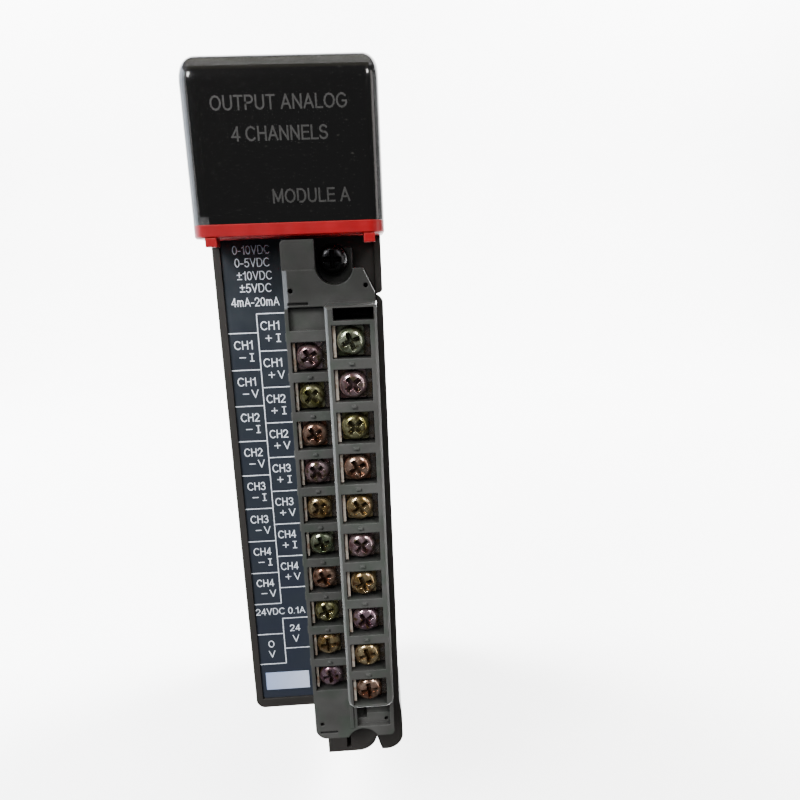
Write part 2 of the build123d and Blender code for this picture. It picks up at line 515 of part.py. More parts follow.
for label, screw_x, screw_z in (("upper", TOP_SCREW_X, TOP_SCREW_Z),
                                ("lower", LOWER_SCREW_X, LOWER_SCREW_Z)):
    seat_y = LUG_FRONT_Y - RETAIN_WASHER
    retaining_screw = captive_screw(screw_x, screw_z, seat_y, RETAIN_TIP_Y,
                                    RETAIN_HEAD_R, RETAIN_HEAD_HEIGHT, RETAIN_SHANK_R)
    save(retaining_screw, f"{label}_retaining_screw")
    retaining_washer = round_washer(screw_x, screw_z, seat_y, LUG_FRONT_Y, 2.95, RETAIN_SHANK_R + 0.05)
    save(retaining_washer, f"{label}_retaining_washer")

MOUNT_SHANK_R = 1.95
MOUNT_NECK_R = 1.6
MOUNT_WASHER = 0.8
MOUNT_THREAD_START_Y = 0.5
MOUNT_TIP_Y = 7.5
mount_seat_y = -LUG_THICKNESS - MOUNT_WASHER
mounting_screw = captive_screw(0, MOUNT_SCREW_Z, mount_seat_y, MOUNT_TIP_Y, 3.5, 2.6,
                               MOUNT_SHANK_R, MOUNT_NECK_R, MOUNT_THREAD_START_Y)
save(mounting_screw, "mounting_screw")
mounting_washer = round_washer(0, MOUNT_SCREW_Z, mount_seat_y, -LUG_THICKNESS, 4.0, MOUNT_NECK_R + 0.05)
save(mounting_washer, "mounting_washer")

with BuildPart() as retaining_inserts:
    for boss_x, boss_z in ((TOP_SCREW_X, TOP_SCREW_Z), (LOWER_SCREW_X, LOWER_SCREW_Z)):
        rod(boss_x, boss_z, LABEL_Y, LABEL_Y + INSERT_LENGTH, INSERT_R)
        rod(boss_x, boss_z, LABEL_Y, LABEL_Y + INSERT_LENGTH, RETAIN_SHANK_R + 0.08, Mode.SUBTRACT)
save(retaining_inserts.part, "retaining_inserts")

# ================================================================ socket behind the block
PIN_TAIL_Y = -65.0
BOARD_RIGHT = 13.6
with BuildPart() as socket_housing:
    block(BAY_LEFT + 0.1, BAY_RIGHT - 0.1, SOCKET_FRONT_Y, CASE_FRONT_Y,
          BAY_BOTTOM_Z + 0.1, BAY_TOP_Z - 0.1)
    block(BAY_LEFT + 0.1, BOARD_RIGHT, CASE_FRONT_Y, TERMINAL_BOARD_Y,
          BAY_BOTTOM_Z + 0.1, BAY_TOP_Z - 0.1)
    chamfer(socket_housing.faces().sort_by(Axis.Y)[0].edges(), 0.4)
    for x, z, front_y in TERMINALS:
        half = PIN_SIZE / 2 + 0.02
        pin_x = x + PIN_OFFSET
        block(pin_x - half, pin_x + half, SOCKET_FRONT_Y, TERMINAL_BOARD_Y,
              z - half, z + half, Mode.SUBTRACT)
save(socket_housing.part, "socket_housing")

with BuildPart() as socket_pins:
    for x, z, front_y in TERMINALS:
        with BuildSketch(facing(PIN_TIP_Y + 1.2)):
            with Locations((x + PIN_OFFSET, z)):
                Rectangle(PIN_SIZE, PIN_SIZE)
        extrude(amount=PIN_TIP_Y + 1.2 - PIN_TAIL_Y)
        extrude(faces(Select.LAST).sort_by(Axis.Y)[0], amount=1.2, taper=12)
save(socket_pins.part, "socket_pins")

with BuildPart() as terminal_board:
    block(COMPONENT_X + 0.2, BOARD_RIGHT, TERMINAL_BOARD_Y, TERMINAL_BOARD_Y + BOARD_THICKNESS, -58.0, 38.0)
    for x, z, front_y in TERMINALS:
        rod(x + PIN_OFFSET, z, TERMINAL_BOARD_Y, TERMINAL_BOARD_Y + BOARD_THICKNESS, 0.75, Mode.SUBTRACT)
    for pilot_z in (-54.5, 34.5):
        rod(2.0, pilot_z, TERMINAL_BOARD_Y, TERMINAL_BOARD_Y + BOARD_THICKNESS, 1.35, Mode.SUBTRACT)
save(terminal_board.part, "terminal_board")

with BuildPart() as board_screws:
    for pilot_z in (-54.5, 34.5):
        board_back = TERMINAL_BOARD_Y + BOARD_THICKNESS
        rod(2.0, pilot_z, board_back, board_back + 1.5, 2.2)
        rod(2.0, pilot_z, -73.0, board_back, 1.0)
save(board_screws.part, "board_screws")

# ================================================================ main board and what it carries
with BuildPart() as main_board:
    with BuildSketch(Plane.YZ.offset(MAIN_BOARD_X)):
        with BuildLine():
            Polyline((-84.0, -57.0), (-66.0, -57.0), (-66.0, -71.0), (-3.0, -71.0), (-3.0, 71.0),
                     (-66.0, 71.0), (-66.0, 69.0), (-84.0, 69.0), close=True)
        make_face()
    extrude(amount=BOARD_THICKNESS)
save(main_board.part, "main_board")

with BuildPart() as board_link:
    block(COMPONENT_X, -4.8, TERMINAL_BOARD_Y + BOARD_THICKNESS, -60.4, -30.0, 10.0)
    chamfer(board_link.edges().filter_by(Axis.Z).group_by(Axis.X)[-1].sort_by(Axis.Y)[-1], 1.0)
save(board_link.part, "board_link")

CONTACT_PITCH = 2.54
CONTACT_COUNT = 18
CONTACT_COLUMNS = (CONNECTOR_LEFT + 2.4, CONNECTOR_LEFT + 6.0)
CONTACT_ROWS = [CONTACT_PITCH * (row - (CONTACT_COUNT - 1) / 2) for row in range(CONTACT_COUNT)]
with BuildPart() as backplane_connector:
    block(CONNECTOR_LEFT, CONNECTOR_RIGHT, -13.0, 0, -CONNECTOR_HALF_Z, CONNECTOR_HALF_Z)
    chamfer(backplane_connector.edges().filter_by(Axis.Y), 0.6)
    for contact_x in CONTACT_COLUMNS:
        for contact_z in CONTACT_ROWS:
            block(contact_x - 0.65, contact_x + 0.65, -13.0, 0,
                  contact_z - 0.65, contact_z + 0.65, Mode.SUBTRACT)
save(backplane_connector.part, "backplane_connector")

with BuildPart() as backplane_contacts:
    for contact_x in CONTACT_COLUMNS:
        for contact_z in CONTACT_ROWS:
            block(contact_x - 0.55, contact_x - 0.25, -14.5, -1.2, contact_z - 0.45, contact_z + 0.45)
            tail_back = -14.5 if contact_x == CONTACT_COLUMNS[0] else -16.5
            block(contact_x - 0.55, contact_x - 0.25, tail_back - 0.3, -14.4,
                  contact_z - 0.45, contact_z + 0.45)
            block(COMPONENT_X, contact_x - 0.25, tail_back - 0.3, tail_back,
                  contact_z - 0.2, contact_z + 0.2)
save(backplane_contacts.part, "backplane_contacts")


def dual_inline(y, z, ways, body_length):
    """A two-row chip package with bent leads, standing on the component face, long side along Z."""
    block(COMPONENT_X + 0.6, COMPONENT_X + 4.0, y - 3.1, y + 3.1, z - body_length / 2, z + body_length / 2)
    for step in range(ways):
        lead_z = z + 2.54 * (step - (ways - 1) / 2)
        for side in (-1, 1):
            low, high = sorted((y + side * 3.1, y + side * 4.0))
            block(COMPONENT_X + 2.0, COMPONENT_X + 2.4, low, high, lead_z - 0.6, lead_z + 0.6)
            low, high = sorted((y + side * 3.7, y + side * 4.0))
            block(COMPONENT_X, COMPONENT_X + 2.2, low, high, lead_z - 0.3, lead_z + 0.3)
    with BuildSketch(Plane((COMPONENT_X + 4.0, y, z + body_length / 2 - 1.2), z_dir=(1, 0, 0))) as dimple:
        Circle(0.5)
    extrude(dimple.sketch, amount=-0.3, mode=Mode.SUBTRACT)


with BuildPart() as optocouplers:
    for z in (-50.0, -38.0, -26.0, -14.0):
        dual_inline(-52.0, z, 4, 9.6)
save(optocouplers.part, "optocouplers")

with BuildPart() as converter_chips:
    for z in (-46.0, -22.0, 2.0, 26.0):
        dual_inline(-38.0, z, 8, 19.8)
save(converter_chips.part, "converter_chips")

with BuildPart() as output_amplifiers:
    for z in (24.0, 46.0):
        dual_inline(-53.0, z, 7, 18.6)
save(output_amplifiers.part, "output_amplifiers")

with BuildPart() as controller_chip:
    block(COMPONENT_X + 0.3, COMPONENT_X + 2.3, -27.0, -15.0, -62.0, -50.0)
    for step in range(11):
        offset = 1.0 * (step - 5)
        for side in (-1, 1):
            low, high = sorted((-21.0 + side * 6.0, -21.0 + side * 7.2))
            block(COMPONENT_X, COMPONENT_X + 0.5, low, high, -56.0 + offset - 0.2, -56.0 + offset + 0.2)
            low, high = sorted((-56.0 + side * 6.0, -56.0 + side * 7.2))
            block(COMPONENT_X, COMPONENT_X + 0.5, -21.0 + offset - 0.2, -21.0 + offset + 0.2, low, high)
save(controller_chip.part, "controller_chip")


def can_capacitor(y, z, radius, height):
    """A radial can standing on the component face, with a rolled groove near its foot."""
    with BuildSketch(Plane((COMPONENT_X, y, z), x_dir=(0, 1, 0), z_dir=(0, 0, 1))) as profile:
        with BuildLine():
            Polyline((0, 0), (radius - 0.3, 0), (radius, -0.6), (radius, -1.8), (radius - 0.5, -2.2),
                     (radius, -2.6), (radius, -height + 0.5), (radius - 0.5, -height), (0, -height),
                     close=True)
        make_face()
    revolve(profile.sketch, axis=Axis((COMPONENT_X, y, z), (1, 0, 0)))


with BuildPart() as filter_capacitors:
    for y, z in ((-24.0, 48.0), (-35.0, 48.0), (-24.0, 34.0)):
        can_capacitor(y, z, 4.8, 13.0)
save(filter_capacitors.part, "filter_capacitors")

CORE_Y, CORE_Z = -24.5, 12.0
with BuildPart() as transformer_core:
    block(COMPONENT_X + 2.0, COMPONENT_X + 15.0, CORE_Y - 3.2, CORE_Y + 3.2, CORE_Z - 9.0, CORE_Z + 9.0)
    for side in (-1, 1):
        block(COMPONENT_X + 5.0, COMPONENT_X + 12.0, CORE_Y - 3.2, CORE_Y + 3.2,
              CORE_Z + side * 4.5 - 2.1, CORE_Z + side * 4.5 + 2.1, Mode.SUBTRACT)
save(transformer_core.part, "transformer_core")

with BuildPart() as transformer_winding:
    block(COMPONENT_X + 5.1, COMPONENT_X + 11.9, CORE_Y - 6.4, CORE_Y + 6.4, CORE_Z - 6.4, CORE_Z + 6.4)
    fillet(transformer_winding.edges().filter_by(Axis.X), 2.0)
    block(COMPONENT_X + 5.0, COMPONENT_X + 12.0, CORE_Y - 3.3, CORE_Y + 3.3, CORE_Z - 2.5, CORE_Z + 2.5,
          Mode.SUBTRACT)
    for y in (CORE_Y - 5.0, CORE_Y + 5.0):
        for z in (CORE_Z - 4.0, CORE_Z + 4.0):
            block(COMPONENT_X, COMPONENT_X + 5.1, y - 0.4, y + 0.4, z - 0.4, z + 0.4)
save(transformer_winding.part, "transformer_winding")

with BuildPart() as calibration_trimmers:
    for step in range(8):
        z = -45.0 + 11.0 * step
        block(COMPONENT_X, COMPONENT_X + 6.0, -80.0, -75.2, z - 4.6, z + 4.6)
        with BuildSketch(Plane((COMPONENT_X + 6.0, -77.6, z + 3.0), z_dir=(1, 0, 0))):
            Circle(1.1)
            Rectangle(2.4, 0.5, mode=Mode.SUBTRACT)
        extrude(amount=0.8)
save(calibration_trimmers.part, "calibration_trimmers")

with BuildPart() as voltage_regulator:
    block(COMPONENT_X + 3.0, COMPONENT_X + 12.0, -14.0, -9.5, 34.0, 44.0)
    block(COMPONENT_X + 3.0, COMPONENT_X + 18.0, -9.5, -8.2, 34.0, 44.0)
    for step in (-1, 0, 1):
        block(COMPONENT_X, COMPONENT_X + 3.0, -12.0, -11.5, 38.6 + 2.54 * step, 39.4 + 2.54 * step)
save(voltage_regulator.part, "voltage_regulator")
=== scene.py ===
import math

import bmesh
import bpy
from mathutils import Euler, Matrix, Vector


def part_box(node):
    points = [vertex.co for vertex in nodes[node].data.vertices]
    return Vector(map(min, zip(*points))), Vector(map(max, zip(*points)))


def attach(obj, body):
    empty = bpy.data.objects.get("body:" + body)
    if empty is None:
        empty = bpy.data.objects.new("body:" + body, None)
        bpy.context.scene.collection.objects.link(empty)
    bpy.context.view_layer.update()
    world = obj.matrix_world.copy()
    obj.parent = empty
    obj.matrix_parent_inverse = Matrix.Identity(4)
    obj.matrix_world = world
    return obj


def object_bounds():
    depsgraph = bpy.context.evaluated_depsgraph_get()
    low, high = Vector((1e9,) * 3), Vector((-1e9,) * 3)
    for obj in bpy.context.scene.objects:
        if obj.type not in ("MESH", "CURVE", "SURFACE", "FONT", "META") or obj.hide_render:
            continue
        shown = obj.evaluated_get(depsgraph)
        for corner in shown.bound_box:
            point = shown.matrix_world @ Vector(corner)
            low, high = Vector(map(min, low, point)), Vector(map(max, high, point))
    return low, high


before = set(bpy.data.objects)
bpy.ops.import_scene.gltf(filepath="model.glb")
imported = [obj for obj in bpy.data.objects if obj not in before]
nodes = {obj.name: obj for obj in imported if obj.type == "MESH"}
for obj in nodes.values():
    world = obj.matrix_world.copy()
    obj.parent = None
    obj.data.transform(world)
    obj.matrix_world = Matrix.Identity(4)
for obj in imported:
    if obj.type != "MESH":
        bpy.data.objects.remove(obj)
cad_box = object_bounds()

MM = 0.001


# ---------------------------------------------------------------- material helpers
class Finish:
    """One procedural material, built from small steps."""

    def __init__(self, name):
        self.material = bpy.data.materials.new(name)
        self.material.use_nodes = True
        self.tree = self.material.node_tree
        self.shader = self.tree.nodes["Principled BSDF"]
        self.place = self.node("ShaderNodeTexCoord").outputs["Object"]

    def node(self, kind, **settings):
        made = self.tree.nodes.new(kind)
        for key, value in settings.items():
            setattr(made, key, value)
        return made

    def put(self, socket, value):
        """Link a socket, or set it to a plain value."""
        if isinstance(value, bpy.types.NodeSocket):
            self.tree.links.new(value, socket)
        elif isinstance(value, tuple) and len(value) == 3 and socket.type == "RGBA":
            socket.default_value = (*value, 1.0)
        else:
            socket.default_value = value

    def math(self, operation, a, b=0.0):
        made = self.node("ShaderNodeMath", operation=operation, use_clamp=False)
        self.put(made.inputs[0], a)
        self.put(made.inputs[1], b)
        return made.outputs[0]

    def noise(self, size_mm, detail=3.0, stretch=(1.0, 1.0, 1.0), seed=0.0):
        """Noise from 0 to 1 whose features are about size_mm across."""
        mapping = self.node("ShaderNodeMapping")
        mapping.inputs["Location"].default_value = (seed, seed * 0.7, seed * 1.3)
        mapping.inputs["Scale"].default_value = [s / (size_mm * MM) for s in stretch]
        self.put(mapping.inputs["Vector"], self.place)
        made = self.node("ShaderNodeTexNoise")
        self.put(made.inputs["Vector"], mapping.outputs[0])
        made.inputs["Scale"].default_value = 1.0
        made.inputs["Detail"].default_value = detail
        return made.outputs["Fac"]

    def spread(self, value, low, high, out_low=0.0, out_high=1.0):
        """Map a value from one range to another, held at both ends."""
        made = self.node("ShaderNodeMapRange", clamp=True)
        self.put(made.inputs["Value"], value)
        made.inputs["From Min"].default_value = low
        made.inputs["From Max"].default_value = high
        made.inputs["To Min"].default_value = out_low
        made.inputs["To Max"].default_value = out_high
        return made.outputs[0]

    def mix(self, share, a, b):
        made = self.node("ShaderNodeMix", data_type="RGBA")
        self.put(made.inputs[0], share)
        self.put(made.inputs[6], a)
        self.put(made.inputs[7], b)
        return made.outputs[2]

    def height(self, axis):
        """One coordinate of the surface, in metres."""
        made = self.node("ShaderNodeSeparateXYZ")
        self.put(made.inputs[0], self.place)
        return made.outputs[axis]

    def soft_edge(self, radius_mm):
        """The normal that rounded edges would have."""
        made = self.node("ShaderNodeBevel", samples=4)
        made.inputs["Radius"].default_value = radius_mm * MM
        return made.outputs[0]

    def wear_and_highlight_edge(self, radius_mm, threshold=0.06):
        """1 on outer edges and 0 on its flats; it makes edges paler for handling wear and as a painted highlight."""
        bevel = self.soft_edge(radius_mm)
        true_normal = self.node("ShaderNodeNewGeometry").outputs["True Normal"]
        turned = self.node("ShaderNodeVectorMath", operation="DOT_PRODUCT")
        self.put(turned.inputs[0], bevel)
        self.put(turned.inputs[1], true_normal)
        return self.spread(self.math("SUBTRACT", 1.0, turned.outputs["Value"]), 0.01, threshold)

    def hollow(self, distance_mm):
        """0 deep in corners, 1 in the open."""
        made = self.node("ShaderNodeAmbientOcclusion", samples=6, only_local=False)
        made.inputs["Distance"].default_value = distance_mm * MM
        return made.outputs["AO"]

    def bump(self, height, strength, distance_mm, edge_mm=0.0):
        made = self.node("ShaderNodeBump")
        made.inputs["Strength"].default_value = strength
        made.inputs["Distance"].default_value = distance_mm * MM
        self.put(made.inputs["Height"], height)
        if edge_mm:
            self.put(made.inputs["Normal"], self.soft_edge(edge_mm))
        self.put(self.shader.inputs["Normal"], made.outputs[0])

    def set(self, **values):
        """Set the shader's sockets, with underscores for the spaces in their names."""
        for key, value in values.items():
            self.put(self.shader.inputs[key.replace("_", " ")], value)
        return self.material


def moulded(name, base, light, roughness, grain_mm=0.28, grain=0.25, edge_mm=0.18, edge_share=0.45,
            recess_mm=1.5, recess_share=0.4, shade=0.0, shine=0.3, mottle=0.4):
    """Moulded plastic: fine spark grain, cloudy tone, paler edges (partly rubbed, partly a painted highlight) and
    dirt with painted shade in its recesses.

    shade sets painted shade: it darkens the part of the surface near and above the top screw, where less light falls.
    """
    finish = Finish(name)
    cloud = finish.spread(finish.noise(9.0, 4.0), 0.3, 0.7)
    colour = finish.mix(cloud, base, tuple(a + mottle * (b - a) for a, b in zip(base, light)))
    patch = finish.spread(finish.noise(3.5, 3.0, seed=11.0), 0.45, 0.7)
    colour = finish.mix(finish.math("MULTIPLY", patch, 1.25 * mottle), colour, (base[0] * 0.8, base[1] * 1.15, base[2] * 0.9))
    # Paler edges: partly handling wear, partly a painted highlight on rounded edges.
    worn = finish.math("MULTIPLY", finish.wear_and_highlight_edge(edge_mm), finish.spread(finish.noise(1.6, 3.0), 0.3, 0.62))
    colour = finish.mix(finish.math("MULTIPLY", worn, edge_share), colour, light)
    # Painted shade, with some dirt: recesses and corners darken towards a near-black copy of the base.
    grime_and_painted_shade = tuple(0.15 * channel for channel in base)
    recess_shade = finish.math("MULTIPLY", finish.spread(finish.hollow(recess_mm), 0.65, 0.15), recess_share)
    colour = finish.mix(recess_shade, colour, grime_and_painted_shade)
    # Painted shade on the upper part, darker near and above the top screw.
    if shade:
        upper = finish.spread(finish.height(2), 0.024, 0.034, 0.0, shade)
        colour = finish.mix(upper, colour, grime_and_painted_shade)
    rough = finish.spread(finish.noise(3.0, 5.0, seed=7.0), 0.3, 0.7, roughness - 0.07, roughness + 0.08)
    texture = finish.math("ADD", finish.noise(grain_mm, 2.0), finish.math("MULTIPLY", finish.noise(2.4, 2.0), 0.6))
    finish.bump(texture, grain, 0.035, edge_mm)
    return finish.set(Base_Color=colour, Roughness=rough, Specular_IOR_Level=shine)


def metal(name, tints, roughness, edge_mm=0.12, dark=(0.05, 0.045, 0.04), dark_share=0.85, cavity_mm=1.6,
          scratch=0.3, seed=0.0, metallic=1.0):
    """Plated metal: drifting tints, dirt and painted shade in its recesses, fine scratches and pitting."""
    finish = Finish(name)
    drift = finish.noise(1.9, 3.0, seed=seed)
    colour = finish.mix(finish.spread(drift, 0.38, 0.62), tints[0], tints[1])
    if len(tints) > 2:
        colour = finish.mix(finish.spread(finish.noise(1.1, 2.0, seed=seed + 5.0), 0.5, 0.68), colour, tints[2])
    # Painted shade, with some dirt: hollows darken towards the dark colour.
    recess_shade = finish.spread(finish.hollow(cavity_mm), 0.72, 0.25)
    colour = finish.mix(finish.math("MULTIPLY", recess_shade, dark_share), colour, dark)
    rough = finish.spread(finish.noise(0.6, 4.0, seed=seed + 2.0), 0.3, 0.75, roughness - 0.08, roughness + 0.14)
    marks = finish.math("ADD", finish.noise(0.35, 3.0, (1.0, 1.0, 4.0), seed=seed), finish.noise(1.2, 2.0))
    finish.bump(marks, scratch, 0.03, edge_mm)
    return finish.set(Base_Color=colour, Roughness=rough, Metallic=metallic)


# ---------------------------------------------------------------- finishes of the CAD nodes
def smoked_lens():
    """Polished smoked plastic with hairline scuffs and specks of dust."""
    finish = Finish("smoked_lens")
    speck = finish.spread(finish.noise(0.5, 2.0, seed=4.0), 0.70, 0.76)
    scuff = finish.spread(finish.noise(1.4, 5.0, (7.0, 1.0, 1.0)), 0.60, 0.72)
    colour = finish.mix(finish.math("MULTIPLY", speck, 0.2), (0.004, 0.004, 0.004), (0.10, 0.10, 0.09))
    rough = finish.math("ADD", 0.14, finish.math("MULTIPLY", finish.math("MAXIMUM", speck, scuff), 0.12))
    finish.bump(finish.noise(14.0, 2.0), 0.10, 0.25, 0.15)
    return finish.set(Base_Color=colour, Roughness=rough, IOR=1.49, Alpha=0.9)


def red_bar():
    finish = Finish("red_bar")
    cloud = finish.spread(finish.noise(5.0, 4.0), 0.3, 0.7)
    colour = finish.mix(cloud, (0.15, 0.001, 0.003), (0.21, 0.002, 0.005))
    # Paler red edges: partly wear, partly a painted highlight.
    colour = finish.mix(finish.math("MULTIPLY", finish.wear_and_highlight_edge(0.25), 0.35), colour, (0.50, 0.05, 0.04))
    rough = finish.spread(finish.noise(1.2, 4.0), 0.3, 0.7, 0.30, 0.44)
    finish.bump(finish.noise(0.35, 2.0), 0.15, 0.03, 0.25)
    return finish.set(Base_Color=colour, Roughness=rough, Specular_IOR_Level=0.3)


def label_film():
    """Dark navy printed film with light scuffs, darker at its top and paler towards its foot as painted shade."""
    finish = Finish("label_film")
    # Painted shade: the film is darker at its top and paler towards its foot.
    tint = finish.spread(finish.height(2), 0.044, -0.059)
    colour = finish.mix(tint, (0.0125, 0.0165, 0.0225), (0.0165, 0.0205, 0.0320))
    cloud = finish.spread(finish.noise(7.0, 4.0), 0.35, 0.7)
    colour = finish.mix(finish.math("MULTIPLY", cloud, 0.5), colour, (0.0200, 0.0250, 0.0290))
    scuff = finish.spread(finish.noise(1.0, 5.0, (5.0, 1.0, 1.0)), 0.62, 0.75)
    colour = finish.mix(finish.math("MULTIPLY", scuff, 0.10), colour, (0.08, 0.085, 0.10))
    rough = finish.spread(finish.noise(2.5, 4.0, seed=2.0), 0.3, 0.7, 0.34, 0.50)
    finish.bump(finish.noise(0.8, 3.0), 0.12, 0.03)
    return finish.set(Base_Color=colour, Roughness=rough)


def write_on_film():
    finish = Finish("write_on_film")
    tint = finish.spread(finish.height(0), -0.014, -0.004)
    colour = finish.mix(tint, (0.30, 0.38, 0.60), (0.46, 0.52, 0.66))
    smudge = finish.spread(finish.noise(1.6, 4.0), 0.5, 0.75)
    colour = finish.mix(finish.math("MULTIPLY", smudge, 0.18), colour, (0.24, 0.27, 0.38))
    rough = finish.spread(finish.noise(0.9, 3.0), 0.3, 0.7, 0.5, 0.65)
    finish.bump(finish.noise(0.3, 2.0), 0.15, 0.02)
    return finish.set(Base_Color=colour, Roughness=rough)


def threaded(name, tint, centre, start_y, pitch_mm):
    """Steel whose bump carries a screw thread from start_y outwards, around a centre line along Y."""
    finish = Finish(name)
    across = finish.math("SUBTRACT", finish.height(0), centre[0])
    up = finish.math("SUBTRACT", finish.height(2), centre[1])
    angle = finish.math("ARCTAN2", up, across)
    turns = finish.math("ADD", finish.math("DIVIDE", finish.height(1), pitch_mm * MM),
                        finish.math("DIVIDE", angle, 2 * math.pi))
    ridge = finish.math("PINGPONG", turns, 0.5)
    on_thread = finish.math("GREATER_THAN", finish.height(1), start_y)
    ridge = finish.math("MULTIPLY", ridge, on_thread)
    colour = finish.mix(finish.spread(finish.noise(1.5, 3.0), 0.35, 0.65), tint, tuple(0.75 * c for c in tint))
    # Painted shade in the thread's grooves.
    groove_shade = finish.math("MULTIPLY", finish.spread(ridge, 0.2, 0.02, 0.0, 0.6), on_thread)
    colour = finish.mix(groove_shade, colour, (0.05, 0.045, 0.04))
    rough = finish.spread(finish.noise(0.6, 4.0), 0.3, 0.7, 0.22, 0.38)
    finish.bump(ridge, 0.9, 0.35, 0.12)
    return finish.set(Base_Color=colour, Roughness=rough, Metallic=1.0)


def circuit_board(name):
    """Green solder mask over a faint pattern of tracks."""
    finish = Finish(name)
    mapping = finish.node("ShaderNodeMapping")
    mapping.inputs["Rotation"].default_value = (0.0, math.radians(90), 0.0)
    mapping.inputs["Scale"].default_value = (260.0, 260.0, 260.0)
    finish.put(mapping.inputs["Vector"], finish.place)
    tracks = finish.node("ShaderNodeTexBrick")
    finish.put(tracks.inputs["Vector"], mapping.outputs[0])
    tracks.inputs["Mortar Size"].default_value = 0.05
    track = finish.spread(tracks.outputs["Fac"], 0.2, 0.8)
    colour = finish.mix(track, (0.012, 0.110, 0.045), (0.035, 0.200, 0.085))
    colour = finish.mix(finish.spread(finish.noise(6.0, 3.0), 0.3, 0.8, 0.0, 0.3), colour, (0.02, 0.07, 0.04))
    finish.bump(track, 0.3, 0.04, 0.1)
    rough = finish.spread(finish.noise(2.0, 3.0), 0.3, 0.7, 0.28, 0.40)
    return finish.set(Base_Color=colour, Roughness=rough)


def glow_plastic(name, colour_a, colour_b, alpha=1.0):
    """Clear or tinted moulded plastic."""
    finish = Finish(name)
    colour = finish.mix(finish.spread(finish.noise(1.5, 3.0), 0.3, 0.7), colour_a, colour_b)
    finish.bump(finish.noise(2.0, 2.0), 0.08, 0.05, 0.1)
    rough = finish.spread(finish.noise(0.8, 3.0), 0.3, 0.7, 0.10, 0.20)
    return finish.set(Base_Color=colour, Roughness=rough, Alpha=alpha)


NICKEL = (0.62, 0.60, 0.56)
SCREW_TINTS = {
    "olive": [(0.22, 0.21, 0.07), (0.60, 0.58, 0.34), (0.12, 0.09, 0.03)],
    "copper": [(0.30, 0.13, 0.08), (0.66, 0.46, 0.36), (0.14, 0.07, 0.03)],
    "rose": [(0.28, 0.14, 0.15), (0.68, 0.50, 0.54), (0.15, 0.13, 0.05)],
    "gold": [(0.34, 0.22, 0.08), (0.70, 0.56, 0.33), (0.19, 0.09, 0.04)],
    "sage": [(0.17, 0.22, 0.12), (0.56, 0.60, 0.45), (0.12, 0.10, 0.04)],
    "mauve": [(0.26, 0.14, 0.20), (0.62, 0.45, 0.52), (0.17, 0.10, 0.03)],
}
LOW_TINTS = ["rose", "olive", "copper", "rose", "gold", "sage", "copper", "olive", "gold", "mauve"]
HIGH_TINTS = ["sage", "rose", "olive", "copper", "gold", "rose", "gold", "mauve", "gold", "copper"]

screw_finish = {
    tint: metal(f"plated_{tint}", colours, 0.17, dark=(0.050, 0.028, 0.010), dark_share=0.7, cavity_mm=1.1,
                scratch=0.5, seed=float(step), metallic=0.92)
    for step, (tint, colours) in enumerate(SCREW_TINTS.items())
}

tinned = metal("tinned_lead", [(0.55, 0.55, 0.53), (0.70, 0.70, 0.68)], 0.35)
bright_steel = metal("bright_steel", [(0.55, 0.56, 0.57), (0.70, 0.71, 0.72)], 0.30)
board_green = circuit_board("board_green")
chip_black = moulded("chip_black", (0.012, 0.012, 0.013), (0.05, 0.05, 0.05), 0.55)
bezel_plastic = moulded("bezel_plastic", (0.021, 0.0195, 0.0185), (0.06, 0.056, 0.054), 0.42,
                        recess_mm=3.0, recess_share=0.7, mottle=0.10)
socket_plastic = moulded("socket_plastic", (0.009, 0.009, 0.009), (0.04, 0.04, 0.04), 0.45)
gold_contact = metal("gold_contact", [(0.72, 0.52, 0.20), (0.85, 0.66, 0.32)], 0.24)

